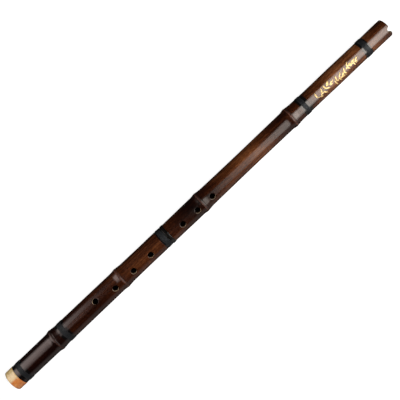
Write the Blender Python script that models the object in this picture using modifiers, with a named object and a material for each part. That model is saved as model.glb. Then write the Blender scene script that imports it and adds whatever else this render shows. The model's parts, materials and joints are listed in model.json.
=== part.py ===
"""Two-section vertical bamboo flute (xiao), blown across a notch at its end.

The flute lies along X with its finger holes facing up and its blowing end at +X. It is an assembly of two bamboo
tubes, a brass tenon and its brass socket liner, a collar, five thread bindings and a bone foot ring. Lengths are
metres. A station is a distance along the flute from the blowing end.
"""

import math

import bpy
from mathutils import Matrix, Vector

# Driving dimensions
LENGTH = 0.710
BORE_RADIUS = 0.0092
STEPS = 32  # sides of every turned piece
GLUE_GAP = 0.00015  # between two pieces that are glued or bound together
FACE_GAP = 0.0003  # between two faces that butt together
MERGE_DISTANCE = 0.00001
CUTTER_REACH = 0.004  # how far a cutter stands out of the wall that it cuts

# The tube's outer radius at its stations, without the bamboo nodes
TUBE_RADII = (
    (0.000, 0.01450),
    (0.009, 0.01390),
    (0.050, 0.01365),
    (0.095, 0.01385),
    (0.150, 0.01380),
    (0.170, 0.01420),
    (0.200, 0.01420),
    (0.270, 0.01400),
    (0.330, 0.01430),
    (0.362, 0.01470),
    (0.410, 0.01450),
    (0.455, 0.01460),
    (0.520, 0.01500),
    (0.580, 0.01520),
    (0.612, 0.01530),
    (0.640, 0.01505),
    (0.710, 0.01490),
)

# Bamboo nodes: the station of the sheath ring and the radius there
NODES = ((0.1810, 0.01550), (0.3505, 0.01560), (0.5020, 0.01595), (0.6259, 0.01650))
NODE_HALF_WIDTH = 0.0095
STATION_MARGIN = 0.001  # the tube's own stations keep this far from a node or groove
NODE_SHOULDER = 0.0030  # from the sheath ring to the fall on each side of it
NODE_SWELLING = 0.0058  # from the sheath ring to the end of the swelling on its foot side

# Blowing end
MOUTH_ROUNDING = 0.0016
MOUTH_BEVEL = 0.0006  # on the bore's edge
NOTCH_TURN = math.radians(9)  # from the finger-hole line, towards -Y
NOTCH_TILT = math.radians(12)  # the blowing edge's bevel
NOTCH_INNER_RADIUS = 0.0046
NOTCH_OUTER_RADIUS = 0.0054
NOTCH_CENTRE = 0.0016  # past the blowing end, on the bore's wall
NOTCH_SPREAD = (NOTCH_OUTER_RADIUS - NOTCH_INNER_RADIUS) / 0.0044  # over the wall's thickness there

# Tone holes: station, and turn about X from the top line in degrees, positive towards -Y
HOLE_RADIUS = 0.0044
HOLE_STEPS = 20
HEAD_FINGER_HOLES = ((0.3341, 0), (0.3618, 0), (0.3894, 0))
FOOT_FINGER_HOLES = ((0.4502, 0), (0.4822, 0), (0.5165, 0), (0.5489, -25.5))
THUMB_HOLE = (0.3000, 180)
VENTS = ((0.5849, 154), (0.5849, 206))
CORD_HOLES = ((0.6479, 154), (0.6479, 206))

# The joint between the sections
HEAD_END = 0.4118
COLLAR_WIDTH = 0.0050
COLLAR_RADIUS = 0.0151
COLLAR_BEVEL = 0.0006
FOOT_START = HEAD_END + COLLAR_WIDTH + 2 * FACE_GAP
TENON_WALL = 0.0010
TENON_GLUED = 0.0156
TENON_REACH = 0.0230  # how far the tenon enters the foot section
LINER_WALL = 0.0008
COLLAR_CLEARANCE = 0.0003

# Thread bindings: first and last station of each groove
BINDINGS = {
    "binding_mouth": (0.0377, 0.0459),
    "binding_upper": (0.1536, 0.1608),
    "binding_joint": (FOOT_START, 0.4258),
    "binding_lower": (0.6036, 0.6123),
    "binding_foot": (0.6833, 0.6908),
}
GROOVE_DEPTH = 0.0004
THREAD_PROUD = 0.0005  # how far a binding stands out of the bamboo
THREAD_ROUNDING = 0.0003

# Foot ring
RING_START = 0.6960
RING_RADIUS = 0.01525
RING_END_RADIUS = 0.01485
RING_SEAT_RADIUS = 0.0124
RING_LIP = 0.0030  # thickness of the end wall that covers the bamboo
RING_ROUNDING = 0.0012
RING_BEVEL = 0.0004
RING_BORE_RADIUS = 0.0094

TENON_RADIUS = BORE_RADIUS + TENON_WALL
LINER_BORE_RADIUS = TENON_RADIUS + GLUE_GAP
LINER_RADIUS = LINER_BORE_RADIUS + LINER_WALL
LINER_END = FOOT_START + TENON_REACH + FACE_GAP
AXIS_HEIGHT = max(radius for _, radius in NODES) * math.cos(math.pi / STEPS)


def clear_scene():
    for thing in list(bpy.data.objects):
        bpy.data.objects.remove(thing, do_unlink=True)


def new_collection(name):
    group = bpy.data.collections.new(name)
    bpy.context.scene.collection.children.link(group)
    return group


def principled(name, colour, roughness, metallic=0.0):
    made = bpy.data.materials.new(name)
    made.use_nodes = True
    shader = made.node_tree.nodes["Principled BSDF"]
    shader.inputs["Base Color"].default_value = (*colour, 1.0)
    shader.inputs["Roughness"].default_value = roughness
    shader.inputs["Metallic"].default_value = metallic
    made.diffuse_color = (*colour, 1.0)
    return made


def tube_radius(station):
    """Outer radius of the plain tube, straight between the stations of TUBE_RADII."""
    for (first, low), (last, high) in zip(TUBE_RADII, TUBE_RADII[1:]):
        if station <= last:
            return low + (high - low) * (station - first) / (last - first)
    return TUBE_RADII[-1][1]


def node_points(station, radius):
    """The outline over one bamboo node: the rise, the sheath ring, the swelling below it and the fall."""
    start, end = station - NODE_HALF_WIDTH, station + NODE_HALF_WIDTH
    height = radius - tube_radius(station)
    return [
        (start, tube_radius(start)),
        (station - NODE_SHOULDER, radius - 0.42 * height),
        (station - 0.3 * NODE_SHOULDER, radius),
        (station + 0.3 * NODE_SHOULDER, radius),
        (station + NODE_SHOULDER, radius - 0.25 * height),
        (station + NODE_SWELLING, radius - 0.6 * height),
        (end, tube_radius(end)),
    ]


def groove_points(first, last):
    """The outline over one binding groove that lies in the middle of a section."""
    floor = min(tube_radius(first), tube_radius(last)) - GROOVE_DEPTH
    return [
        (first, tube_radius(first)),
        (first, floor),
        (last, floor),
        (last, tube_radius(last)),
    ]


def tube_points(start, end):
    """The tube's own stations that lie clear of its nodes and grooves, between start and end."""
    taken = [(s - NODE_HALF_WIDTH, s + NODE_HALF_WIDTH) for s, _ in NODES]
    taken += list(BINDINGS.values())
    return [
        (station, radius)
        for station, radius in TUBE_RADII
        if start + STATION_MARGIN < station < end - STATION_MARGIN
        and not any(a - STATION_MARGIN < station < b + STATION_MARGIN for a, b in taken)
    ]


def arc(centre, radius, start, end, count):
    """Points (station, radius) of a rounded edge, from one angle to another in degrees."""
    angles = [math.radians(start + (end - start) * i / count) for i in range(count + 1)]
    return [(centre[0] - radius * math.sin(a), centre[1] + radius * math.cos(a)) for a in angles]


def section_outline(start, end, features):
    """Outer outline of a bamboo section: features are its nodes' and grooves' points."""
    points = tube_points(start, end)
    for feature in features:
        points += feature
    return sorted(points, key=lambda point: point[0])


def turned(name, outline, material, group):
    """A piece turned about the flute's axis from a closed outline of (station, radius), outer side first."""
    mesh = bpy.data.meshes.new(name)
    half_step = Matrix.Rotation(math.pi / STEPS, 3, "Z")
    points = [half_step @ Vector((radius, 0, LENGTH / 2 - station)) for station, radius in outline]
    edges = [(i, (i + 1) % len(points)) for i in range(len(points))]
    mesh.from_pydata(points, edges, [])
    piece = bpy.data.objects.new(name, mesh)
    group.objects.link(piece)
    piece.location = (0, 0, AXIS_HEIGHT)
    piece.rotation_euler = (0, math.pi / 2, 0)
    screw = piece.modifiers.new("turn", "SCREW")
    screw.steps = screw.render_steps = STEPS
    screw.use_merge_vertices = True
    screw.merge_threshold = MERGE_DISTANCE
    screw.use_smooth_shade = False
    mesh.materials.append(material)
    return piece


def cone_cutter(name, low_radius, high_radius, depth, matrix, group, steps=HOLE_STEPS):
    """A cone or cylinder along its own Z, placed by matrix, that cuts a bamboo section."""
    bpy.ops.mesh.primitive_cone_add(
        vertices=steps, radius1=low_radius, radius2=high_radius, depth=depth, end_fill_type="NGON"
    )
    cutter = bpy.context.object
    cutter.name = name
    cutter.matrix_world = matrix
    for owner in list(cutter.users_collection):
        owner.objects.unlink(cutter)
    group.objects.link(cutter)
    cutter.hide_render = True
    cutter.display_type = "WIRE"
    return cutter


def cut(piece, cutter):
    boolean = piece.modifiers.new(cutter.name, "BOOLEAN")
    boolean.operation = "DIFFERENCE"
    boolean.solver = "EXACT"
    boolean.object = cutter


def radial(station, turn, radius):
    """A frame on the tube whose Z points straight out, turned about X from the top line towards -Y."""
    place = Matrix.Translation((LENGTH / 2 - station, 0, AXIS_HEIGHT))
    return place @ Matrix.Rotation(turn, 4, "X") @ Matrix.Translation((0, 0, radius))


def drill(piece, name, station, degrees, group):
    """A tone hole: a straight hole through one side of the tube."""
    inner = BORE_RADIUS / 2
    outer = tube_radius(station) + CUTTER_REACH
    place = radial(station, math.radians(degrees), (inner + outer) / 2)
    cut(piece, cone_cutter(name, HOLE_RADIUS, HOLE_RADIUS, outer - inner, place, group))


def cut_notch(piece, group):
    """The blowing notch: a cone laid back from the blowing edge, so that the edge is sharp on the bore's wall."""
    inner, outer = -CUTTER_REACH, 2 * CUTTER_REACH
    slide = Matrix.Translation((NOTCH_CENTRE, 0, 0))
    lean = Matrix.Rotation(-NOTCH_TILT, 4, "Y")
    middle = Matrix.Translation((0, 0, (inner + outer) / 2))
    matrix = radial(0, NOTCH_TURN, BORE_RADIUS) @ slide @ lean @ middle
    low = NOTCH_INNER_RADIUS + NOTCH_SPREAD * inner
    high = NOTCH_INNER_RADIUS + NOTCH_SPREAD * outer
    cut(piece, cone_cutter("notch", low, high, outer - inner, matrix, group, steps=24))


def make_head(material, group, cutters):
    """Upper bamboo tube, with the blowing notch, and the counterbore that the tenon is glued into."""
    mouth = tube_radius(0)
    rounding = (MOUTH_ROUNDING, mouth - MOUTH_ROUNDING)
    outline = [(0, BORE_RADIUS + MOUTH_BEVEL)]
    outline += arc(rounding, MOUTH_ROUNDING, 90, 0, 3)
    outline += section_outline(
        MOUTH_ROUNDING,
        HEAD_END,
        [
            groove_points(*BINDINGS["binding_mouth"]),
            groove_points(*BINDINGS["binding_upper"]),
            node_points(*NODES[0]),
            node_points(*NODES[1]),
        ],
    )
    seat = HEAD_END - TENON_GLUED - FACE_GAP
    seat_radius = TENON_RADIUS + GLUE_GAP
    outline += [
        (HEAD_END, tube_radius(HEAD_END)),
        (HEAD_END, seat_radius),
        (seat, seat_radius),
        (seat, BORE_RADIUS),
        (MOUTH_BEVEL, BORE_RADIUS),
    ]
    head = turned("head_section", outline, material, group)
    for number, (station, turn) in enumerate(HEAD_FINGER_HOLES, start=1):
        drill(head, f"finger_hole_{number}", station, turn, cutters)
    drill(head, "thumb_hole", *THUMB_HOLE, cutters)
    cut_notch(head, cutters)
    return head


def make_foot(material, group, cutters):
    """Lower bamboo tube, counterbored for the socket liner and turned down for the foot ring."""
    first, last = BINDINGS["binding_joint"]
    floor = tube_radius(first) - GROOVE_DEPTH
    outline = [(first, LINER_RADIUS + GLUE_GAP), (first, floor), (last, floor), (last, tube_radius(last))]
    outline += section_outline(
        last,
        RING_START,
        [
            node_points(*NODES[2]),
            groove_points(*BINDINGS["binding_lower"]),
            node_points(*NODES[3]),
            groove_points(*BINDINGS["binding_foot"]),
        ],
    )
    tail = LENGTH - RING_LIP - FACE_GAP
    outline += [
        (RING_START, tube_radius(RING_START)),
        (RING_START, RING_SEAT_RADIUS),
        (tail, RING_SEAT_RADIUS),
        (tail, BORE_RADIUS),
        (LINER_END + FACE_GAP, BORE_RADIUS),
        (LINER_END + FACE_GAP, LINER_RADIUS + GLUE_GAP),
    ]
    foot = turned("foot_section", outline, material, group)
    for number, (station, turn) in enumerate(FOOT_FINGER_HOLES, start=len(HEAD_FINGER_HOLES) + 1):
        drill(foot, f"finger_hole_{number}", station, turn, cutters)
    for number, (station, turn) in enumerate(VENTS, start=1):
        drill(foot, f"vent_{number}", station, turn, cutters)
    for number, (station, turn) in enumerate(CORD_HOLES, start=1):
        drill(foot, f"cord_hole_{number}", station, turn, cutters)
    return foot


def make_binding(name, material, group):
    """One thread binding, as a band that fills its groove and stands a little proud."""
    first, last = BINDINGS[name]
    start, end = first + GLUE_GAP, last - GLUE_GAP
    surface = min(tube_radius(first), tube_radius(last))
    inside = surface - GROOVE_DEPTH + GLUE_GAP
    outside = surface + THREAD_PROUD
    outline = [
        (start, inside),
        (start, outside - THREAD_ROUNDING),
        (start + THREAD_ROUNDING, outside),
        (end - THREAD_ROUNDING, outside),
        (end, outside - THREAD_ROUNDING),
        (end, inside),
    ]
    return turned(name, outline, material, group)


def make_joint(brass, horn, group):
    """The brass tenon and its liner, and the collar that sits on the tenon between the two sections."""
    tenon = (HEAD_END - TENON_GLUED, FOOT_START + TENON_REACH)
    liner = (FOOT_START + FACE_GAP, LINER_END)
    turned("tenon_sleeve", ring_outline(*tenon, BORE_RADIUS, TENON_RADIUS), brass, group)
    turned("socket_liner", ring_outline(*liner, LINER_BORE_RADIUS, LINER_RADIUS), brass, group)
    start, end = HEAD_END + FACE_GAP, HEAD_END + FACE_GAP + COLLAR_WIDTH
    outline = [
        (start, TENON_RADIUS + COLLAR_CLEARANCE),
        (start, COLLAR_RADIUS - COLLAR_BEVEL),
        (start + COLLAR_BEVEL, COLLAR_RADIUS),
        (end - COLLAR_BEVEL, COLLAR_RADIUS),
        (end, COLLAR_RADIUS - COLLAR_BEVEL),
        (end, TENON_RADIUS + COLLAR_CLEARANCE),
    ]
    turned("joint_collar", outline, horn, group)


def ring_outline(start, end, inside, outside):
    """A plain tube."""
    return [(start, inside), (start, outside), (end, outside), (end, inside)]


def make_foot_ring(material, group):
    """The bone ring: a cap on the foot with a lip that covers the bamboo's end."""
    seat = RING_SEAT_RADIUS + GLUE_GAP
    start = RING_START + FACE_GAP
    corner = (LENGTH - RING_ROUNDING, RING_END_RADIUS - RING_ROUNDING)
    outline = [(start, seat), (start, RING_RADIUS - RING_BEVEL), (start + RING_BEVEL, RING_RADIUS)]
    outline += arc(corner, RING_ROUNDING, 0, -90, 3)
    outline += [(LENGTH, RING_BORE_RADIUS), (LENGTH - RING_LIP, RING_BORE_RADIUS), (LENGTH - RING_LIP, seat)]
    return turned("foot_ring", outline, material, group)


def main():
    clear_scene()
    parts = new_collection("bamboo_flute")
    cutters = new_collection("cutters")
    bamboo = principled("stained_bamboo", (0.10, 0.04, 0.02), 0.35)
    thread = principled("black_thread", (0.02, 0.02, 0.02), 0.55)
    brass = principled("brass", (0.80, 0.58, 0.25), 0.25, metallic=1.0)
    horn = principled("black_horn", (0.01, 0.008, 0.008), 0.2)
    bone = principled("bone", (0.75, 0.52, 0.30), 0.35)
    make_head(bamboo, parts, cutters)
    make_foot(bamboo, parts, cutters)
    for name in BINDINGS:
        make_binding(name, thread, parts)
    make_joint(brass, horn, parts)
    make_foot_ring(bone, parts)


main()
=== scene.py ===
"""Looks of a two-section vertical bamboo flute (xiao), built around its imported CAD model.

The flute lies along X with its finger holes facing up and its blowing end at +X. Lengths are metres.
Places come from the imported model: its boxes, its outlines, and its record's openings and joints. Turns are
about the flute's axis, from the line of finger holes, positive towards -Y. A station is a distance from the
blowing end.
"""

import json
import math
import random

import bmesh
import bpy
import numpy as np
from mathutils import Matrix, Vector, noise


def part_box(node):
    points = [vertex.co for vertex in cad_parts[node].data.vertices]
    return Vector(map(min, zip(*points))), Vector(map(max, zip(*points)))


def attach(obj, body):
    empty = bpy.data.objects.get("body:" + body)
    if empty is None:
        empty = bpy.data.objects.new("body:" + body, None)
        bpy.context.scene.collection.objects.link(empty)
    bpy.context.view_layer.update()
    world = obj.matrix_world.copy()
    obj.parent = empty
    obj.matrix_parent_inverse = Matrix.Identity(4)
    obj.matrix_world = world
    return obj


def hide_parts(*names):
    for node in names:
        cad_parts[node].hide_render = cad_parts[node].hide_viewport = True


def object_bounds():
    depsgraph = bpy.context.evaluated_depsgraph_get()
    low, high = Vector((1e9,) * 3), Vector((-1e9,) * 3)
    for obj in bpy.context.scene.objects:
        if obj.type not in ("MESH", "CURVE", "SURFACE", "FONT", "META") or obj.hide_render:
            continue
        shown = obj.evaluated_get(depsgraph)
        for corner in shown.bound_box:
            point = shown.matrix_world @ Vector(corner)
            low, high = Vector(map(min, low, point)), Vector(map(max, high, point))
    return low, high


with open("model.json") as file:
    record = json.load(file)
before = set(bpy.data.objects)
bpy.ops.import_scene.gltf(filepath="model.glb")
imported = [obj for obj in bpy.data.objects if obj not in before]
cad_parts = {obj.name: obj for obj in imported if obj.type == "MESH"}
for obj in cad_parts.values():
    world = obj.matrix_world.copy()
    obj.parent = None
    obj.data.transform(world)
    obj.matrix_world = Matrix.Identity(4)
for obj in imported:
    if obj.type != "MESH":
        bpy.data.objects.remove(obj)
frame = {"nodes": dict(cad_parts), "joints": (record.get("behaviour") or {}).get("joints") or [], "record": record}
CAD_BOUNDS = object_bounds()

OPENINGS = {opening["name"]: opening["box_m"] for opening in frame["record"]["physics"]["openings"]}
AXIS_Z = frame["joints"][0]["pos_m"][2]
CAD_SIDES = 32
CAD_FLAT = math.cos(math.pi / CAD_SIDES)  # a turned CAD piece's box reaches its flats, not its corners

# Bamboo sections
AROUND = 144  # steps around the tube
PLAIN_STEP = 0.0020
NODE_STEP = 0.00035
BORE_STEP = 0.0060
FULL_RING = 4 * CAD_SIDES  # a full ring of the CAD mesh has more vertices: its faces don't share them
LEAST_OUTSIDE = 0.0130  # every outer ring of the bamboo is wider than this
LEAST_RISE = 0.0001  # of a sheath ring above its neighbours in the CAD outline
LEVEL_WITHIN = 0.00002
NODE_REACH = 0.0110  # half the length of a bamboo node
NODE_SHAPE = (  # offset towards the foot from the sheath ring, share of the node's height
    (-0.0110, 0.0),
    (-0.0096, 0.03),
    (-0.0080, 0.12),
    (-0.0065, 0.25),
    (-0.0051, 0.39),
    (-0.0038, 0.52),
    (-0.0028, 0.62),
    (-0.0021, 0.64),
    (-0.0015, 0.67),
    (-0.0008, 0.90),
    (-0.0001, 1.0),
    (0.0008, 1.0),
    (0.0016, 0.93),
    (0.0026, 0.77),
    (0.0038, 0.55),
    (0.0050, 0.34),
    (0.0062, 0.16),
    (0.0074, 0.05),
    (0.0086, 0.01),
    (0.0110, 0.0),
)
NODE_SLANT = 0.0004  # how far a node's ring leans along the tube
SLANT_START = 1.0  # radians: the first node's ring reaches furthest along X at minus this turn
SLANT_STEP = 2.1  # from one node's slant to the next one's
OVALNESS = 0.00010
FLUTING = 0.00005  # the shallow hollows that run along the grain
MOUTH_ROUNDING = 0.0011
BORE_BEVEL = 0.0006
BORE_RADIUS = 0.0092
GLUE_GAP = 0.00015
FACE_GAP = 0.0003
SMOOTH_UP_TO = 35  # degrees between faces; sharper edges stay sharp

# Materials of a section, in order
SKIN, CUT, BORE, END = range(4)

# How light the stain is at stations from the blowing end: darker at the nodes, and darker towards the foot, which
# is partly painted shade where the lamps are weaker
STAIN_AND_SHADE = (
    (0.000, 0.40),
    (0.018, 0.55),
    (0.032, 0.95),
    (0.055, 1.25),
    (0.095, 1.35),
    (0.125, 1.00),
    (0.150, 0.36),
    (0.172, 0.30),
    (0.193, 0.14),
    (0.215, 0.36),
    (0.245, 0.85),
    (0.290, 0.70),
    (0.330, 0.30),
    (0.365, 0.08),
    (0.395, 0.30),
    (0.455, 0.62),
    (0.485, 0.52),
    (0.520, 0.30),
    (0.575, 0.26),
    (0.620, 0.08),
    (0.700, 0.06),
)
STAIN_AND_SHADE_POWERS = (1.0, 1.3, 1.6)  # of red, green and blue: darker stain and painted shade are also redder
SHINE = {"head": (1.0, 0.94, 0.89), "foot": (1.0, 0.82, 0.80)}  # tint of the polish

# Where the skin differs at a node: offset along X from its sheath ring, then half width and soft edge
RIDGE_OFFSET = -0.0004
RIDGE_WORN = (0.0010, 0.0010)
GROOVE_OFFSET = 0.0019
# a near-black line in the groove beside each node's ridge: painted shade
GROOVE_SHADE = (0.0003, 0.0009)
MATTE_OFFSET = 0.0006
MATTE = (0.0016, 0.0012)

# Holes
HOLE_RADIUS = 0.0044
HOLE_ROUNDING = 0.00028
HOLE_ROUNDING_STEPS = 4
HOLE_AROUND = 48
HOLE_RIM_END = (1.25, -0.06)  # where the cut leaves the surface: widening and drop, in roundings
HOLE_CLEARANCE = 0.0020  # of a hole's cutter above the surface
HOLE_SHADE_WITHIN = 0.0125  # the holes' walls are painted dark nearer the axis than this: painted shade deep in the holes
HOLE_SHADE_EDGE = 0.0005
HEAD_HOLES = ("finger_hole_1", "finger_hole_2", "finger_hole_3", "thumb_hole")
FOOT_HOLES = (  # the two holes of a pair meet inside the bore, so they are cut one after the other
    ("finger_hole_4", "finger_hole_5", "finger_hole_6", "finger_hole_7", "vent_1", "cord_hole_1"),
    ("vent_2", "cord_hole_2"),
)
NOTCH_TURN = math.radians(9)
NOTCH_TILT = math.radians(12)
NOTCH_INNER_RADIUS = 0.0046
NOTCH_SPREAD = 0.18  # how fast the notch's cone widens
NOTCH_CENTRE = 0.0016  # how far the cone's axis is past the mouth, at the bore's wall
NOTCH_REACH = (-0.004, 0.008)  # of the cone below and above that point
NOTCH_AROUND = 72

# Thread
THREAD_RADIUS = 0.00024
THREAD_SIDES = 8
THREAD_CREST = 0.00013  # how far a wound thread stands above its middle: it is pressed flat
THREAD_AROUND = 72  # steps in one turn
THREAD_TUCK = 0.00030  # how far the ends of a binding are drawn in
THREAD_TUCKED_TURNS = 0.12  # share of a turn at each end
THREAD_LIFT = 1.45  # the thread's middle above the bamboo, in thread radii
THREAD_WIDEN = 1.06  # a pressed thread is a little wider than a round one
THREAD_WANDER = 0.00003
LACQUER = {  # how far black lacquer runs past a binding: towards the blowing end, towards the foot
    "binding_mouth": (0.0016, 0.0033),
    "binding_upper": (0.0038, 0.0030),
    "binding_joint": (0.0010, 0.0021),
    "binding_lower": (0.0030, 0.0034),
    "binding_foot": (0.0036, 0.0056),
}
LACQUER_WANDER = 0.00035
LACQUER_EDGE = 0.0003

# Turned trim
TRIM_AROUND = 128
RING_SEAT = 0.01255
RING_BORE = 0.0094
RING_FLOOR = 0.0030  # thickness of the wall that covers the bamboo's end
RING_LIP_ROUNDING = 0.0004
RING_END_ROUNDING = 0.0015
RING_BORE_ROUNDING = 0.0003
RING_TAPERED = (0.002, 0.003)  # the stretch that tapers starts and ends this far from lip and foot end
RING_TAPER = 0.00002  # in each step of that stretch
RING_END_DROP = 0.0002  # of the outside, at the rounding of the foot end
COLLAR_ROUNDING = 0.0005
TUBE_ROUNDING = {"tenon_sleeve": 0.0003, "socket_liner": 0.0002}
PAINTED_LIGHT_SIDE = math.radians(-19.5)  # where the bone is painted palest, as painted light from the left softboxes; from +Y towards +Z
PAINTED_LIGHT_EDGE = 0.0012

# Camera
VIEW_LEAN = math.radians(19.5)  # of the line of sight from the vertical, towards +Y
VIEW_ROLL = math.radians(43.5)  # of the flute's axis in the picture
VIEW_DISTANCE = 1.1055
VIEW_SHIFT = (0.0013, 0.0060)  # right and up in the picture
LENS = 72
SENSOR = 36


# ---------------------------------------------------------------- reading the frame


def box_radius(name):
    """Outer radius of a turned CAD node."""
    low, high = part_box(name)
    return (high.y - low.y) / 2 / CAD_FLAT


def cad_outline(name):
    """The full outer rings of a bamboo CAD node as (x, radius), in order along X."""
    rings = {}
    for vertex in frame["nodes"][name].data.vertices:
        radius = math.hypot(vertex.co.y, vertex.co.z - AXIS_Z)
        rings.setdefault(round(vertex.co.x, 5), []).append(radius)
    full = {x: max(radii) for x, radii in rings.items() if len(radii) > FULL_RING}
    return [(x, radius) for x, radius in sorted(full.items()) if radius > LEAST_OUTSIDE]


def bamboo_nodes(outline):
    """The sheath rings in an outline: each is a short level stretch above its neighbours."""
    found = []
    for before, first, last, after in zip(outline, outline[1:], outline[2:], outline[3:]):
        level = abs(first[1] - last[1]) < LEVEL_WITHIN
        if level and first[1] > before[1] + LEAST_RISE and last[1] > after[1] + LEAST_RISE:
            found.append(((first[0] + last[0]) / 2, first[1]))
    return found


def smooth_curve(points):
    """A smooth function of x through points (x, value), for arrays of x."""
    xs, ys = np.array(sorted(points)).T
    slopes = np.gradient(ys, xs)

    def curve(x):
        x = np.clip(x, xs[0], xs[-1])
        i = np.clip(np.searchsorted(xs, x) - 1, 0, len(xs) - 2)
        width = xs[i + 1] - xs[i]
        t = (x - xs[i]) / width
        start = (1 + 2 * t) * (1 - t) ** 2 * ys[i] + t * (1 - t) ** 2 * width * slopes[i]
        end = t**2 * (3 - 2 * t) * ys[i + 1] + t**2 * (t - 1) * width * slopes[i + 1]
        return start + end

    return curve


def opening_place(name):
    """Where a hole's axis meets the tube: x, and the turn about the flute's axis in degrees."""
    low, high = OPENINGS[name]
    x, y, z = ((a + b) / 2 for a, b in zip(low, high))
    return x, math.degrees(math.atan2(-y, z - AXIS_Z))


# ---------------------------------------------------------------- mesh tools


def new_piece(name, vertices, faces, materials, face_materials=None):
    """A mesh object with its faces turned outwards."""
    mesh = bpy.data.meshes.new(name)
    mesh.from_pydata(vertices, [], faces)
    if face_materials is not None:
        mesh.polygons.foreach_set("material_index", face_materials)
    work = bmesh.new()
    work.from_mesh(mesh)
    bmesh.ops.recalc_face_normals(work, faces=work.faces)
    work.to_mesh(mesh)
    work.free()
    for material in materials:
        mesh.materials.append(material)
    smooth(mesh)
    piece = bpy.data.objects.new(name, mesh)
    bpy.context.scene.collection.objects.link(piece)
    return piece


def smooth(mesh, sharp=SMOOTH_UP_TO):
    mesh.shade_smooth()
    mesh.set_sharp_from_angle(angle=math.radians(sharp))


def on_tube(x, turn, radius):
    """Points at x, turned about the flute's axis (radians) and at a radius from it."""
    x, turn, radius = np.broadcast_arrays(x, turn, radius)
    return np.stack([x, -radius * np.sin(turn), AXIS_Z + radius * np.cos(turn)], axis=-1)


def grid_faces(rows, columns, close_rows):
    """Quads over a grid of vertices whose columns close round, and whose rows close too if asked."""
    faces = []
    for row in range(rows if close_rows else rows - 1):
        this, following = row * columns, (row + 1) % rows * columns
        for column in range(columns):
            side = (column + 1) % columns
            faces.append((this + column, this + side, following + side, following + column))
    return faces


def turned(name, profile, materials, around=TRIM_AROUND, row_materials=None, relief=None):
    """A solid of revolution about the flute's axis, from a closed profile of (x, radius).

    relief(x, turns) is added to the radius of the rows whose material is the first one.
    """
    xs, radii = np.array(profile).T
    turns = np.arange(around) * 2 * math.pi / around
    grid = np.repeat(radii[:, None], around, axis=1)
    if relief is not None:
        for row, x in enumerate(xs):
            if row_materials[row] == SKIN:
                grid[row] += relief(x, turns)
    points = on_tube(xs[:, None], turns[None, :], grid).reshape(-1, 3)
    faces = grid_faces(len(profile), around, True)
    face_materials = None
    if row_materials is not None:
        face_materials = np.repeat(row_materials, around)
    return new_piece(name, points.tolist(), faces, materials, face_materials)


def arc(x, radius, size, start, end, count):
    """Points (x, radius) of a rounded edge about a centre, between angles in degrees from +X."""
    angles = np.radians(np.linspace(start, end, count + 1))
    return [(x + size * math.cos(a), radius + size * math.sin(a)) for a in angles]


def loft(name, loops, materials, loop_materials=None):
    """A closed solid from loops of points of the same count, capped at both ends."""
    count = len(loops[0])
    points = [point for loop in loops for point in loop]
    faces = grid_faces(len(loops), count, False)
    face_materials = None
    if loop_materials is not None:
        walls = np.repeat(loop_materials[:-1], count)
        face_materials = [*walls, loop_materials[0], loop_materials[-1]]
    last = len(points) - count
    faces += [tuple(range(count)), tuple(range(last, last + count))]
    return new_piece(name, points, faces, materials, face_materials)


def join(pieces, name):
    """Several objects made into one, with the first one's materials."""
    work = bmesh.new()
    for piece in pieces:
        work.from_mesh(piece.data)
    mesh = bpy.data.meshes.new(name)
    work.to_mesh(mesh)
    work.free()
    for material in pieces[0].data.materials:
        mesh.materials.append(material)
    joined = bpy.data.objects.new(name, mesh)
    bpy.context.scene.collection.objects.link(joined)
    for piece in pieces:
        bpy.data.objects.remove(piece)
    return joined


def carve(piece, cutters):
    """Cuts the cutters out of a piece. The cut faces take the cutters' materials."""
    cutter = join(cutters, piece.name + "_cutter")
    boolean = piece.modifiers.new("carve", "BOOLEAN")
    boolean.operation = "DIFFERENCE"
    boolean.solver = "EXACT"
    boolean.material_mode = "TRANSFER"
    boolean.object = cutter
    evaluated = piece.evaluated_get(bpy.context.evaluated_depsgraph_get())
    mesh = bpy.data.meshes.new_from_object(evaluated)
    piece.modifiers.clear()
    piece.data = mesh
    bpy.data.objects.remove(cutter)
    smooth(mesh)


def settle(piece, body, slot, *nodes):
    """A finished piece: the body it rides on and the CAD nodes it stands for. Its slot is not used."""
    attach(piece, body)
    if nodes:
        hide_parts(*nodes)


# ---------------------------------------------------------------- materials


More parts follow.
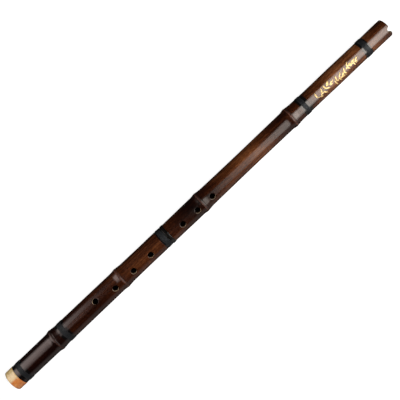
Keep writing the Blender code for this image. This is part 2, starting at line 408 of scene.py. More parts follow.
class Graph:
    """One material's node tree, grown a node at a time."""

    def __init__(self, name, roughness, **plain):
        self.material = bpy.data.materials.new(name)
        self.material.use_nodes = True
        self.tree = self.material.node_tree
        self.shader = self.tree.nodes["Principled BSDF"]
        self.place = self.add("TexCoord").outputs["Object"]
        self.roughness(roughness)
        for socket, value in plain.items():
            self.shader.inputs[socket.replace("_", " ")].default_value = value

    def feed(self, socket, value):
        if isinstance(value, bpy.types.NodeSocket):
            self.tree.links.new(value, socket)
        else:
            socket.default_value = value

    def add(self, kind, inputs=None, **settings):
        node = self.tree.nodes.new("ShaderNode" + kind)
        for setting, value in settings.items():
            setattr(node, setting, value)
        for socket, value in (inputs or {}).items():
            self.feed(node.inputs[socket], value)
        return node

    def math(self, operation, *values):
        return self.add("Math", dict(enumerate(values)), operation=operation).outputs[0]

    def total(self, *terms):
        """Sum of (value, weight) terms."""
        result = 0.0
        for value, weight in terms:
            result = self.math("MULTIPLY_ADD", value, weight, result)
        return result

    def axis(self, name):
        return self.add("SeparateXYZ", {0: self.place}).outputs[name]

    def stretched(self, along, across):
        """Object coordinates in units of a length along the flute and a width across it."""
        scale = (1 / along, 1 / across, 1 / across)
        return self.add("Mapping", {"Vector": self.place, "Scale": scale}).outputs[0]

    def grain(self, along, across, detail=2.0, roughness=0.5, offset=0.0):
        """Noise whose features are that long and that wide."""
        vector = self.stretched(along, across)
        if offset:
            vector = self.vector("ADD", vector, (offset, offset, offset))[0]
        inputs = {"Vector": vector, "Scale": 1.0, "Detail": detail, "Roughness": roughness}
        return self.add("TexNoise", inputs).outputs[0]

    def cells(self, along, across):
        """Distance from scattered points, in cells of that size."""
        inputs = {"Vector": self.stretched(along, across), "Scale": 1.0}
        return self.add("TexVoronoi", inputs).outputs["Distance"]

    def ramp(self, factor, *stops):
        """Colours at stops from 0 to 1."""
        node = self.add("ValToRGB", {"Fac": factor})
        elements = node.color_ramp.elements
        while len(elements) < len(stops):
            elements.new(0.5)
        for element, (position, colour) in zip(elements, stops):
            element.position = position
            element.color = (*colour, 1)
        return node.outputs["Color"]

    def span(self, value, low, high, to_low=0.0, to_high=1.0):
        """A value's span from low to high, mapped to another and held at its ends."""
        inputs = {"Value": value, "From Min": low, "From Max": high}
        inputs |= {"To Min": to_low, "To Max": to_high}
        return self.add("MapRange", inputs).outputs[0]

    def vector(self, operation, *values):
        return self.add("VectorMath", dict(enumerate(values)), operation=operation).outputs

    def from_axis(self):
        """Object coordinates measured from the flute's axis."""
        return self.vector("SUBTRACT", self.place, (0, 0, AXIS_Z))[0]

    def mix(self, factor, first, second, blend="MIX"):
        node = self.add("Mix", data_type="RGBA", blend_type=blend)
        for index, value in ((0, factor), (6, first), (7, second)):
            if isinstance(value, tuple):
                value = (*value, 1)
            self.feed(node.inputs[index], value)
        return node.outputs[2]

    def blend(self, factor, first, second):
        """Like mix, for plain values."""
        return self.add("Mix", {0: factor, 2: first, 3: second}, data_type="FLOAT").outputs[0]

    def near(self, value, middle, half, edge):
        """1 where value is within half of the middle, falling to 0 over the edge."""
        away = self.math("ABSOLUTE", self.math("SUBTRACT", value, middle))
        return self.span(away, half + edge / 2, half - edge / 2)

    def colour(self, value):
        self.feed(self.shader.inputs["Base Color"], value)

    def roughness(self, value):
        self.feed(self.shader.inputs["Roughness"], value)

    def bump(self, height, depth, strength=1.0):
        inputs = {"Height": height, "Distance": depth, "Strength": strength}
        self.feed(self.shader.inputs["Normal"], self.add("Bump", inputs).outputs[0])


def bamboo_colour(graph, x, nodes):
    """Stained bamboo skin: flecks, streaks and patches, darker towards the foot partly as painted shade, worn at
    each node's ridge, with a painted shade line in its groove.
    """
    fleck = graph.grain(0.0042, 0.0010, detail=3, roughness=0.62)
    streak = graph.grain(0.070, 0.0026, detail=2, offset=3.0)
    patch = graph.grain(0.045, 0.014, detail=1, offset=7.0)
    tone = graph.total((fleck, 0.46), (streak, 0.32), (patch, 0.38))
    skin = graph.ramp(
        tone,
        (0.42, (0.020, 0.0050, 0.0014)),
        (0.54, (0.075, 0.0205, 0.0054)),
        (0.64, (0.140, 0.0460, 0.0145)),
        (0.76, (0.260, 0.1000, 0.0350)),
    )
    low, high = CAD_BOUNDS
    share = graph.math("SUBTRACT", 1.0, graph.span(x, low.x, high.x))
    # the stain along the flute multiplies the skin; its darkening towards the foot is partly painted shade
    stops = []
    for station, light in STAIN_AND_SHADE:
        stops.append((station / (high.x - low.x), tuple(light**power for power in STAIN_AND_SHADE_POWERS)))
    skin = graph.mix(1.0, skin, graph.ramp(share, *stops), "MULTIPLY")
    rubbed = graph.span(x, low.x, high.x, 0.12, 0.60)
    patchy = graph.math("MULTIPLY", graph.span(fleck, 0.30, 0.65), rubbed)
    for node_x, _ in nodes:
        worn = graph.math("MULTIPLY", graph.near(x, node_x + RIDGE_OFFSET, *RIDGE_WORN), patchy)
        skin = graph.mix(worn, skin, (0.20, 0.075, 0.050))
        # painted shade: the groove beside the ridge is darkened to near black
        groove_shade = graph.math("MULTIPLY", graph.near(x, node_x + GROOVE_OFFSET, *GROOVE_SHADE), 0.85)
        skin = graph.mix(groove_shade, skin, (0.006, 0.002, 0.001))
    return skin, fleck, streak


def lacquer_mask(graph, x, bindings):
    """1 where black lacquer is brushed on beside the bindings, with slightly uneven edges."""
    wander = graph.span(graph.grain(0.02, 0.006, detail=3), 0.3, 0.7, -LACQUER_WANDER, LACQUER_WANDER)
    x = graph.math("ADD", x, wander)
    mask = 0.0
    for name in bindings:
        low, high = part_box(name)
        start, end = low.x - LACQUER[name][1], high.x + LACQUER[name][0]
        lacquered = graph.near(x, (start + end) / 2, (end - start) / 2, LACQUER_EDGE)
        mask = graph.math("MAXIMUM", mask, lacquered)
    return mask


def stained_bamboo(name, nodes, bindings, shine):
    """Stained and polished bamboo, matte at the nodes' rings and lacquered black beside the bindings."""
    tint = (*shine, 1)
    graph = Graph(name, 0.3, Coat_Weight=0.2, Coat_Roughness=0.16, IOR=1.5, Specular_Tint=tint)
    x = graph.axis("X")
    skin, fleck, streak = bamboo_colour(graph, x, nodes)
    mask = lacquer_mask(graph, x, bindings)
    pits = graph.span(graph.cells(0.0030, 0.0009), 0.05, 0.30)
    fibre = graph.grain(0.030, 0.00045, detail=2, offset=11.0)
    graph.colour(graph.mix(mask, skin, (0.0035, 0.0030, 0.0030)))
    rough = graph.total((fleck, 0.18), (streak, 0.08), (pits, -0.05), (0.12, 1.0))
    for node_x, _ in nodes:
        rough = graph.blend(graph.near(x, node_x + MATTE_OFFSET, *MATTE), rough, 0.55)
    graph.roughness(graph.blend(mask, rough, 0.16))
    height = graph.total((fleck, 0.45), (fibre, 0.35), (streak, 0.8), (pits, 0.5))
    graph.bump(graph.blend(mask, height, 0.5), 0.00010, 0.40)
    return graph.material


def natural_bamboo(name, light, shaded_within=None):
    """Cut bamboo with brown fibre bundles, its natural colours multiplied by light.

    It is painted dark nearer to the flute's axis than shaded_within, if that is given: painted shade deep in a
    hole.
    """
    graph = Graph(name, 0.5)
    bundle = graph.grain(0.0012, 0.00045, detail=3, roughness=0.6)
    patch = graph.grain(0.004, 0.003, detail=2, offset=5.0)
    tone = graph.total((bundle, 0.6), (patch, 0.4))
    shades = ((0.34, 0.20, 0.09), (0.62, 0.43, 0.22), (0.80, 0.62, 0.38))
    dark, middle, pale = (tuple(np.multiply(shade, light)) for shade in shades)
    colour = graph.ramp(tone, (0.36, dark), (0.48, middle), (0.60, pale))
    # painted shade: a hole's wall darkens deeper in
    if shaded_within is not None:
        radial = graph.vector("MULTIPLY", graph.from_axis(), (0, 1, 1))[0]
        radius = graph.vector("LENGTH", radial)["Value"]
        deep_shade = graph.span(radius, shaded_within + HOLE_SHADE_EDGE, shaded_within - HOLE_SHADE_EDGE)
        colour = graph.mix(deep_shade, colour, (0.035, 0.014, 0.006))
    graph.colour(colour)
    graph.bump(bundle, 0.00008, 0.5)
    return graph.material


def bore_lacquer():
    """The dark varnish inside the bore."""
    graph = Graph("bore_lacquer", 0.35)
    run = graph.grain(0.05, 0.002, detail=2)
    graph.colour(graph.ramp(run, (0.35, (0.006, 0.002, 0.001)), (0.7, (0.03, 0.010, 0.005))))
    graph.bump(run, 0.0001, 0.3)
    return graph.material


def black_thread():
    """Waxed black thread: fine twisted filaments."""
    tint = (0.88, 0.96, 1.0, 1)
    graph = Graph("black_thread", 0.45, Specular_IOR_Level=0.32, Specular_Tint=tint)
    filament = graph.grain(0.00008, 0.0009, detail=2)
    wear = graph.grain(0.0012, 0.006, detail=3, offset=4.0)
    tone = graph.total((filament, 0.4), (wear, 0.6))
    shades = ((0.35, (0.005, 0.005, 0.006)), (0.65, (0.020, 0.021, 0.024)))
    graph.colour(graph.ramp(tone, *shades))
    graph.roughness(graph.span(wear, 0.3, 0.7, 0.38, 0.50))
    graph.bump(filament, 0.00003, 0.4)
    return graph.material


def black_horn():
    """Polished black horn with faint brown streaks."""
    graph = Graph("black_horn", 0.2, Coat_Weight=0.3, Coat_Roughness=0.1, IOR=1.5)
    streak = graph.grain(0.004, 0.0012, detail=3)
    shades = ((0.45, (0.0020, 0.0018, 0.0018)), (0.75, (0.010, 0.006, 0.004)))
    graph.colour(graph.ramp(streak, *shades))
    graph.roughness(graph.span(streak, 0.3, 0.7, 0.18, 0.26))
    graph.bump(streak, 0.00002, 0.15)
    return graph.material


def bone():
    """Polished bone with fine grain lines and a few pores: amber, painted pale cream as painted light on the side
    the left softboxes face.
    """
    graph = Graph("bone", 0.2, Coat_Weight=0.6, Coat_Roughness=0.1, IOR=1.55)
    line = graph.grain(0.012, 0.0007, detail=3, roughness=0.6)
    cloud = graph.grain(0.006, 0.006, detail=2, offset=2.0)
    pore = graph.span(graph.cells(0.0022, 0.0008), 0.06, 0.16)
    tone = graph.total((line, 0.45), (cloud, 0.55))
    ambers = ((0.36, (0.66, 0.19, 0.045)), (0.50, (0.76, 0.27, 0.075)), (0.66, (0.84, 0.38, 0.13)))
    lit_creams = ((0.36, (0.68, 0.43, 0.16)), (0.50, (0.76, 0.55, 0.25)), (0.66, (0.80, 0.64, 0.35)))
    side = Vector((0, math.cos(PAINTED_LIGHT_SIDE), math.sin(PAINTED_LIGHT_SIDE)))
    across = graph.vector("DOT_PRODUCT", graph.from_axis(), side)["Value"]
    uneven = graph.math("ADD", across, graph.span(cloud, 0.3, 0.7, -PAINTED_LIGHT_EDGE, PAINTED_LIGHT_EDGE))
    # painted light: the side towards the left softboxes takes the cream colours
    pale = graph.span(uneven, -PAINTED_LIGHT_EDGE, PAINTED_LIGHT_EDGE)
    colour = graph.mix(pale, graph.ramp(tone, *ambers), graph.ramp(tone, *lit_creams))
    graph.colour(graph.mix(pore, (0.26, 0.08, 0.02), colour))
    graph.roughness(graph.span(cloud, 0.3, 0.7, 0.16, 0.28))
    graph.bump(graph.total((line, 0.5), (pore, 0.5)), 0.00005, 0.4)
    return graph.material


def brass():
    """Drawn brass tube with turning marks, dull in patches."""
    graph = Graph("brass", 0.25, Metallic=1.0)
    mark = graph.grain(0.00025, 0.02, detail=2)
    dull = graph.grain(0.006, 0.006, detail=3, offset=6.0)
    graph.colour(graph.ramp(dull, (0.35, (0.50, 0.32, 0.12)), (0.65, (0.82, 0.60, 0.27))))
    graph.roughness(graph.span(dull, 0.3, 0.7, 0.38, 0.20))
    graph.bump(mark, 0.00003, 0.5)
    return graph.material


def gold_paint():
    """Gold paint rubbed into the engraving, thin in places."""
    graph = Graph("gold_paint", 0.42, Metallic=0.35)
    brush = graph.grain(0.0012, 0.0008, detail=3, roughness=0.6)
    golds = ((0.30, (0.52, 0.32, 0.10)), (0.45, (0.80, 0.56, 0.22)), (0.70, (0.92, 0.70, 0.34)))
    graph.colour(graph.ramp(brush, *golds))
    graph.roughness(graph.span(brush, 0.3, 0.7, 0.50, 0.34))
    graph.bump(brush, 0.00005, 0.5)
    return graph.material


# ---------------------------------------------------------------- bamboo sections


class Section:
    """The outside of one bamboo section, as read from its CAD node."""

    def __init__(self, node):
        outline = cad_outline(node)
        self.nodes = bamboo_nodes(outline)
        self.low, self.high = outline[0][0], outline[-1][0]
        plain = [
            (x, radius)
            for x, radius in outline
            if all(abs(x - node_x) > NODE_REACH for node_x, _ in self.nodes)
            and x < CAD_BOUNDS[1].x - 1.5 * MOUTH_ROUNDING
        ]
        self.plain = smooth_curve(plain)
        self.swell = smooth_curve([(-offset, share) for offset, share in NODE_SHAPE])

    def radius(self, x, turn=0.0):
        """Outer radius, with the nodes; turn is in radians and moves a node's slanted ring."""
        result = self.plain(np.asarray(x, float)) + np.zeros(np.shape(turn))
        for number, (node_x, peak) in enumerate(self.nodes):
            height = peak - self.plain(node_x)
            lean = NODE_SLANT * np.cos(np.asarray(turn) + SLANT_START + SLANT_STEP * number)
            offset = np.clip(x - node_x - lean, -NODE_REACH, NODE_REACH)
            result = result + height * self.swell(offset)
        return result

    def stations(self, start, end):
        """Row places from start to end, close together at the nodes."""
        places, x = [], start
        while x < end - PLAIN_STEP / 2:
            places.append(x)
            close = any(abs(x - node_x) < NODE_REACH + NODE_SLANT for node_x, _ in self.nodes)
            x += NODE_STEP if close else PLAIN_STEP
        return places + [end]

    def relief(self, x, turns):
        """What the nodes' slant, the ovalness and the fluting add to the outline's radius."""
        change = self.radius(x, turns) - self.radius(x, 0.0)
        for i, turn in enumerate(turns):
            around = Vector((math.cos(turn), math.sin(turn), 0))
            slow = noise.noise(0.8 * around + Vector((0, 0, 9 * x)))
            fine = noise.noise(7 * around + Vector((3, 0, 22 * x)))
            change[i] += OVALNESS * slow + FLUTING * fine
        return change


def hole_cutter(section, name, materials):
    """A straight hole through one side of the tube, with a rounded rim that follows the surface."""
    x, degrees = opening_place(name)
    turn = math.radians(degrees)
    spin = Matrix.Rotation(turn, 3, "X")
    surface = float(section.plain(x))
    angles = np.arange(HOLE_AROUND) * 2 * math.pi / HOLE_AROUND

    def loop(radius, drop=None, height=None):
        """Points round the hole, at a height above the flute's axis or a drop below the surface."""
        along, across = radius * np.cos(angles), radius * np.sin(angles)
        up = np.full(HOLE_AROUND, height) if drop is None else np.sqrt(surface**2 - across**2) - drop
        return [Vector((x, 0, AXIS_Z)) + spin @ Vector(p) for p in zip(along, across, up)]

    loops = [loop(HOLE_RADIUS, height=BORE_RADIUS / 2)]
    for step in range(HOLE_ROUNDING_STEPS):
        lean = math.radians(90 * step / HOLE_ROUNDING_STEPS)
        widen = HOLE_ROUNDING * (1 - math.cos(lean))
        drop = HOLE_ROUNDING * (1 - math.sin(lean))
        loops.append(loop(HOLE_RADIUS + widen, drop=drop))
    widen, drop = (share * HOLE_ROUNDING for share in HOLE_RIM_END)
    loops.append(loop(HOLE_RADIUS + widen, drop=drop))
    loops.append(loop(HOLE_RADIUS + 2 * HOLE_ROUNDING, height=surface + HOLE_CLEARANCE))
    return loft(name, loops, materials, [CUT] + [SKIN] * (len(loops) - 1))


def notch_cutter(materials):
    """A cone laid back from the blowing edge, so that the edge is sharp on the bore's wall."""
    place = Matrix.Translation((CAD_BOUNDS[1].x, 0, AXIS_Z))
    turn = Matrix.Rotation(NOTCH_TURN, 4, "X")
    slide = Matrix.Translation((NOTCH_CENTRE, 0, BORE_RADIUS))
    lean = Matrix.Rotation(-NOTCH_TILT, 4, "Y")
    matrix = place @ turn @ slide @ lean
    angles = np.arange(NOTCH_AROUND) * 2 * math.pi / NOTCH_AROUND
    loops = []
    for height in NOTCH_REACH:
        radius = NOTCH_INNER_RADIUS + NOTCH_SPREAD * height
        ring = [(radius * math.cos(a), radius * math.sin(a), height) for a in angles]
        loops.append([matrix @ Vector(point) for point in ring])
    return loft("notch", loops, materials, [END, END])


def section_rows(section, start, end, inner):
    """Profile and row materials of a section: its outside from start to end, then the rest in order.

    A row's material covers the faces from its point to the next one.
    """
    outside = [(x, float(section.radius(x))) for x in section.stations(start, end)]
    profile = outside + [(x, radius) for x, radius, _ in inner]
    kinds = [SKIN] * len(outside) + [kind for _, _, kind in inner]
    kinds[len(outside) - 1] = inner[0][2]
    return profile, kinds


def bore_rows(start, end):
    """Bore points from start down to end."""
    count = round((start - end) / BORE_STEP)
    return [(x, BORE_RADIUS, BORE) for x in np.linspace(start, end, count)]


def make_head(section, materials):
    """The upper tube, with the seat of the tenon at its lower end and the notch at its upper end."""
    mouth = CAD_BOUNDS[1].x
    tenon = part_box("tenon_sleeve")[1].x + FACE_GAP
    seat = box_radius("tenon_sleeve") + GLUE_GAP
    start = section.low
    edge = float(section.radius(mouth - MOUTH_ROUNDING))
    rounding = arc(mouth - MOUTH_ROUNDING, edge - MOUTH_ROUNDING, MOUTH_ROUNDING, 75, 0, 5)
    inner = [(x, radius, SKIN) for x, radius in rounding[:-1]]
    inner += [(*rounding[-1], END), (mouth, BORE_RADIUS + BORE_BEVEL, BORE)]
    inner += bore_rows(mouth - BORE_BEVEL, tenon)
    inner += [(tenon, seat, CUT), (start, seat, END)]
    profile, kinds = section_rows(section, start, mouth - MOUTH_ROUNDING, inner)
    head = turned("bamboo_head", profile, materials, AROUND, kinds, section.relief)
    cutters = [hole_cutter(section, name, materials) for name in HEAD_HOLES]
    carve(head, cutters + [notch_cutter(materials)])
    settle(head, "head", "stained_bamboo", "head_section")


def make_foot(section, materials):
    """The lower tube, turned down at its end for the foot ring."""
    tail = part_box("foot_section")[0].x
    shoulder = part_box("foot_ring")[1].x + FACE_GAP
    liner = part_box("socket_liner")[0].x - FACE_GAP
    seat = box_radius("socket_liner") + GLUE_GAP
    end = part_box("foot_section")[1].x
    inner = [(end, seat, END), (liner, seat, CUT)]
    inner += bore_rows(liner, tail)
    inner += [(tail, RING_SEAT - GLUE_GAP, CUT), (shoulder, RING_SEAT - GLUE_GAP, CUT)]
    profile, kinds = section_rows(section, shoulder, end, inner)
    foot = turned("bamboo_foot", profile, materials, AROUND, kinds, section.relief)
    for names in FOOT_HOLES:
        carve(foot, [hole_cutter(section, name, materials) for name in names])
    settle(foot, "foot", "stained_bamboo", "foot_section")


# ---------------------------------------------------------------- bindings


def make_binding(name, section, body, material):
    """One binding: a thread wound side by side, with both ends drawn in under it."""
    low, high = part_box(name)
    turns = round((high.x - low.x) / (2 * THREAD_RADIUS))
    pitch = (high.x - low.x - 2 * THREAD_RADIUS) / turns
    steps = turns * THREAD_AROUND
    t = np.arange(steps + 1) / THREAD_AROUND
    turn = 2 * math.pi * t
    x = high.x - THREAD_RADIUS - pitch * t
    tuck = THREAD_TUCK * np.clip(1 - np.minimum(t, turns - t) / THREAD_TUCKED_TURNS, 0, 1) ** 2
    wander = THREAD_WANDER * np.array([noise.noise(Vector((7 * v, 0.5, low.x * 90))) for v in t])
    radius = section.radius(x) + THREAD_LIFT * THREAD_RADIUS + wander - tuck
    x = x + np.roll(wander, 5)
    sides = np.arange(THREAD_SIDES) * 2 * math.pi / THREAD_SIDES
    wide = THREAD_WIDEN * THREAD_RADIUS * np.cos(sides)
    tall = np.sin(sides) * np.where(np.sin(sides) > 0, THREAD_CREST, 2 * THREAD_RADIUS)
    loops = []
    for place, angle, out in zip(x, turn, radius):
        loops.append(on_tube(place + wide, angle, out + tall).tolist())
    piece = loft(name.replace("binding", "thread"), loops, [material])
    settle(piece, body, "black_thread", name)


# ---------------------------------------------------------------- turned trim


def rounded_tube(start, end, inside, outside, rounding, steps=4):
    """Profile of a plain tube from a low x to a high x, with its outer edges rounded."""
    profile = [(start, inside)]
    profile += arc(start + rounding, outside - rounding, rounding, 180, 90, steps)
    profile += arc(end - rounding, outside - rounding, rounding, 90, 0, steps)
    return profile + [(end, inside)]


def make_joint(brass_material, horn_material):
    """The brass tenon and liner, and the horn collar between the sections."""
    tenon = box_radius("tenon_sleeve")
    for node, body, inside in (
        ("tenon_sleeve", "head", BORE_RADIUS),
        ("socket_liner", "foot", tenon + GLUE_GAP),
    ):
        low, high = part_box(node)
        profile = rounded_tube(low.x, high.x, inside, box_radius(node), TUBE_ROUNDING[node])
        settle(turned(node.replace("_", "_brass_"), profile, [brass_material]), body, "brass", node)
    low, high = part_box("joint_collar")
    outside = box_radius("joint_collar")
    profile = rounded_tube(low.x, high.x, tenon + FACE_GAP, outside, COLLAR_ROUNDING, 5)
    settle(turned("horn_collar", profile, [horn_material]), "collar", "black_horn", "joint_collar")


def make_foot_ring(material):
    """The bone ring: a cap with a rounded end and a lip that covers the bamboo."""
    low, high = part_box("foot_ring")
    outside = box_radius("foot_ring")
    end, lip = low.x, high.x
    size = RING_LIP_ROUNDING
    profile = [(lip, RING_SEAT)]
    profile += arc(lip - size, outside - size, size, 0, 90, 3)
    tapered = np.linspace(lip - RING_TAPERED[0], end + RING_TAPERED[1], 5)
    profile += [(x, outside - RING_TAPER * step) for step, x in enumerate(tapered)]
    size = RING_END_ROUNDING
    profile += arc(end + size, outside - RING_END_DROP - size, size, 90, 180, 7)
    size = RING_BORE_ROUNDING
    profile += arc(end + size, RING_BORE + size, size, 180, 270, 3)
    profile += [(end + RING_FLOOR, RING_BORE), (end + RING_FLOOR, RING_SEAT)]
    settle(turned("bone_foot_ring", profile, [material]), "foot", "bone", "foot_ring")


# ---------------------------------------------------------------- gold sprigs

# Two sprigs, each with its tip towards the blowing end: station of the tip, length, leaves
SPRIGS = ((0.0645, 0.0400, 14), (0.1110, 0.0275, 9))
SPRIG_TURN = math.radians(3)
SPRIG_SEED = 7
SPRIG_SMOOTH_UP_TO = 60
STEM_SWAY = 0.0026  # how far a stem bends to each side
STEM_STEPS = 40
STEM_WIDTH = 0.00030  # half widths
LEAF_WIDTH = 0.00100
LEAF_TIP_WIDTH = 0.00005
LEAF_STEPS = 12
LEAF_LENGTHS = (0.0048, 0.0098)
LEAF_ANGLES = (18, 100)  # from the stem
LEAF_BEND = 0.16
TWIN_CHANCE = 0.4  # of a small leaf on the other side of the stem
TWIN_SHARE = 0.62  # its length, as a share of the leaf's
TIP_LEAF = ((0.002, 0), 4, LEAF_LENGTHS[0])  # the last leaf: from the tip, degrees from the stem, length
PAINT_PROUD = 0.00010
PAINT_SUNK = 0.00012
EDGE_SHADOW_MARGIN = 0.00030  # how far the painted shadow of the engraving's edge shows round the paint
EDGE_SHADOW_PROUD = 0.00003
STROKE_SIDES = (  # across, height: a domed top and a flat underside
    (-1, 0),
    (-0.6, 0.75),
    (0, 1),
    (0.6, 0.75),
    (1, 0),
    (0.7, -1),
    (-0.7, -1),
)


def stroke(section, points, widths, proud):
    """Loops of one brush stroke that follows the tube: points (station, arc towards +Y), half widths."""
    ahead = np.gradient(points, axis=0)
    ahead /= np.linalg.norm(ahead, axis=1)[:, None]
    side = np.stack([-ahead[:, 1], ahead[:, 0]], axis=1)
    loops = []
    for point, across, width in zip(points, side, widths):
        loop = []
        for share, height in STROKE_SIDES:
            station, over = point + across * share * width
            x = CAD_BOUNDS[1].x - station
            surface = float(section.radius(x))
            lift = height * (proud if height > 0 else PAINT_SUNK)
            loop.append(on_tube(x, SPRIG_TURN - over / surface, surface + lift).tolist())
        loops.append(loop)
    return loops


def leaf(start, degrees, length):
    """A bamboo leaf's midline and half widths: slender, and bending back to the stem."""
    heading = math.radians(degrees)
    t = np.linspace(0, 1, LEAF_STEPS + 1)
    bend = LEAF_BEND * length * t**2 * math.copysign(1, degrees)
    station = start[0] - t * length * math.cos(heading) - bend * math.sin(heading)
    across = start[1] + t * length * math.sin(heading) - bend * math.cos(heading)
    widths = LEAF_TIP_WIDTH + LEAF_WIDTH * np.sin(math.pi * t**0.75) ** 0.85
    return np.stack([station, across], axis=1), widths


def sprig_lines(tip, length, leaves, chance):
    """Midlines and half widths of one sprig: its stem, then leaves at uneven places on both sides."""
    t = np.linspace(0, 1, STEM_STEPS + 1)
    stem = np.stack([tip + length * t, STEM_SWAY * np.sin(2 * math.pi * t)], axis=1)
    lines = [(stem, STEM_WIDTH * (0.6 + 0.5 * t))]
    for number in range(leaves):
        place = stem[round(STEM_STEPS * (number + chance.uniform(0.3, 1.0)) / leaves)]
        side = chance.choice((-1, 1)) if number % 3 else (-1) ** number
        angle = chance.uniform(*LEAF_ANGLES)
        size = chance.uniform(*LEAF_LENGTHS)
        lines.append(leaf(place, side * angle, size))
        if chance.random() < TWIN_CHANCE:
            lines.append(leaf(place, -side * chance.uniform(*LEAF_ANGLES), TWIN_SHARE * size))
    start, degrees, size = TIP_LEAF
    return lines + [leaf(stem[0] + start, degrees, size)]


def make_sprigs(section, paint, cut):
    """Two engraved bamboo sprigs below the blowing end, filled with gold paint, each stroke ringed by near-black
    painted shadow for its cut edges.
    """
    chance = random.Random(SPRIG_SEED)
    lines = [line for sprig in SPRIGS for line in sprig_lines(*sprig, chance)]
    for name, slot, material, margin, proud in (
        ("gold_sprigs", "gold_paint", paint, 0.0, PAINT_PROUD),
        # painted shadow: a near-black band round each stroke, standing in for the shade in the engraving's cut
        ("sprig_edge_shadows", "stained_bamboo", cut, EDGE_SHADOW_MARGIN, EDGE_SHADOW_PROUD),
    ):
        parts = []
        for number, (points, widths) in enumerate(lines):
            loops = stroke(section, points, widths + margin, proud)
            parts.append(loft(f"{name}_{number}", loops, [material]))
        piece = join(parts, name)
        smooth(piece.data, SPRIG_SMOOTH_UP_TO)
        settle(piece, "head", slot)


# ---------------------------------------------------------------- stage

# Softboxes: middle (x, degrees from the line of sight, distance from the flute's axis), size, radiance
SOFTBOXES = {
    "right_wide": ((0.58, -28, 1.0), (0.46, 1.80), 3.3),
    "right_core": ((0.60, -26, 1.0), (0.42, 1.20), 3.7),
    "right_fill": ((0.27, -27, 1.0), (0.16, 1.30), 2.4),
    "right_fade": ((0.15, -24, 1.0), (0.16, 1.20), 1.1),
    "left_wide": ((-0.85, 36, 1.0), (0.70, 2.10), 1.0),
    "left_middle": ((-0.86, 38, 1.0), (0.66, 1.45), 1.0),
    "left_core": ((-0.87, 41, 1.0), (0.64, 0.90), 1.1),
    "left_near": ((-0.47, 45, 1.0), (0.14, 0.72), 1.8),
    "rim": ((0.0, -98, 1.0), (2.40, 0.90), 0.3),
    "rim_blow": ((0.58, -98, 1.0), (0.50, 0.90), 1.0),
}
LIGHT_COLOUR = (1.0, 0.95, 0.91)
FLOOR_SIZE = 12
FLOOR_LEVEL = -0.0004  # just below the flute's lowest point
FLOOR_GLOW = 0.90
AMBIENT = 0.022

# The line of sight's frame: along the flute, square to it in the picture, and back towards the camera
ALONG = Vector((1, 0, 0))
ACROSS = Vector((0, math.cos(VIEW_LEAN), -math.sin(VIEW_LEAN)))
BACK = Vector((0, math.sin(VIEW_LEAN), math.cos(VIEW_LEAN)))


def make_camera():
    right = math.cos(VIEW_ROLL) * ALONG - math.sin(VIEW_ROLL) * ACROSS
    up = math.sin(VIEW_ROLL) * ALONG + math.cos(VIEW_ROLL) * ACROSS
    data = bpy.data.cameras.new("camera")
    data.lens = LENS
    data.sensor_width = SENSOR
    camera = bpy.data.objects.new("camera", data)
    middle = Vector((0, 0, AXIS_Z)) + VIEW_SHIFT[0] * right + VIEW_SHIFT[1] * up
    rotation = Matrix((right, up, BACK)).transposed().to_4x4()
    camera.matrix_world = Matrix.Translation(middle + VIEW_DISTANCE * BACK) @ rotation
    bpy.context.scene.collection.objects.link(camera)
    bpy.context.scene.camera = camera


def softbox(name, middle, size, radiance):
    """A rectangular light that faces the flute's axis and that the camera doesn't see."""
    x, degrees, distance = middle
    angle = math.radians(degrees)
    out = math.cos(angle) * BACK + math.sin(angle) * ACROSS
    data = bpy.data.lights.new(name, "AREA")
    data.shape = "RECTANGLE"
    data.size, data.size_y = size
    data.energy = radiance * math.pi * size[0] * size[1]
    data.color = LIGHT_COLOUR
    light = bpy.data.objects.new(name, data)
    rotation = Matrix((ALONG, out.cross(ALONG), out)).transposed().to_4x4()
    light.matrix_world = Matrix.Translation(Vector((x, 0, AXIS_Z)) + distance * out) @ rotation
    light.visible_camera = False
    bpy.context.scene.collection.objects.link(light)


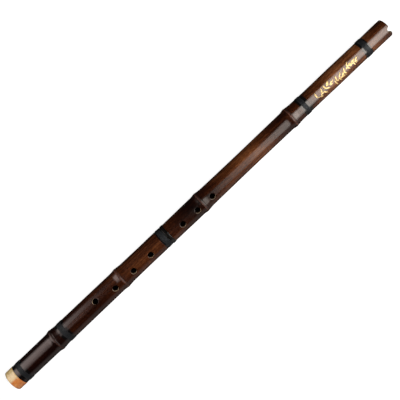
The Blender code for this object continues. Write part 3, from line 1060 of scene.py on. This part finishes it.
def make_floor():
    """A plain white floor, left out of the flute's reflections and bounced light."""
    white = (1, 1, 1, 1)
    graph = Graph("floor", 0.9, Emission_Strength=FLOOR_GLOW, Emission_Color=white)
    tone = graph.grain(0.5, 0.5, detail=1)
    graph.colour(graph.ramp(tone, (0.3, (0.24, 0.24, 0.24)), (0.7, (0.26, 0.26, 0.26))))
    bpy.ops.mesh.primitive_plane_add(size=FLOOR_SIZE, location=(0, 0, FLOOR_LEVEL))
    floor = bpy.context.object
    floor.name = "floor"
    floor.data.materials.append(graph.material)
    floor.visible_glossy = False
    floor.visible_diffuse = False


def make_world():
    """White to the camera, dim to everything else."""
    world = bpy.data.worlds.new("studio")
    bpy.context.scene.world = world
    world.use_nodes = True
    tree = world.node_tree
    seen = tree.nodes.new("ShaderNodeLightPath").outputs["Is Camera Ray"]
    strength = tree.nodes.new("ShaderNodeMapRange")
    tree.links.new(seen, strength.inputs["Value"])
    strength.inputs["To Min"].default_value = AMBIENT
    background = tree.nodes["Background"]
    background.inputs["Color"].default_value = (1, 1, 1, 1)
    tree.links.new(strength.outputs[0], background.inputs["Strength"])


def make_stage():
    make_camera()
    for name, (middle, size, radiance) in SOFTBOXES.items():
        softbox(name, middle, size, radiance)
    make_floor()
    make_world()
    bpy.context.scene.view_settings.view_transform = "Standard"


def main():
    make_stage()
    head, foot = Section("head_section"), Section("foot_section")
    bindings = {
        "binding_mouth": (head, "head"),
        "binding_upper": (head, "head"),
        "binding_joint": (foot, "foot"),
        "binding_lower": (foot, "foot"),
        "binding_foot": (foot, "foot"),
    }
    cut = natural_bamboo("cut_bamboo", (0.85, 0.94, 1.15), HOLE_SHADE_WITHIN)
    bore = bore_lacquer()
    end = natural_bamboo("stained_end", (0.3, 0.3, 0.3))
    for section, body, make in ((head, "head", make_head), (foot, "foot", make_foot)):
        bound = [name for name in bindings if bindings[name][1] == body]
        skin = stained_bamboo(f"stained_bamboo_{body}", section.nodes, bound, SHINE[body])
        make(section, [skin, cut, bore, end])
    thread = black_thread()
    for name, (section, body) in bindings.items():
        make_binding(name, section, body, thread)
    make_joint(brass(), black_horn())
    make_foot_ring(bone())
    # the near-black bamboo round the strokes is painted shadow
    make_sprigs(head, gold_paint(), natural_bamboo("engraved_edge_shadow", (0.04, 0.04, 0.04)))


main()
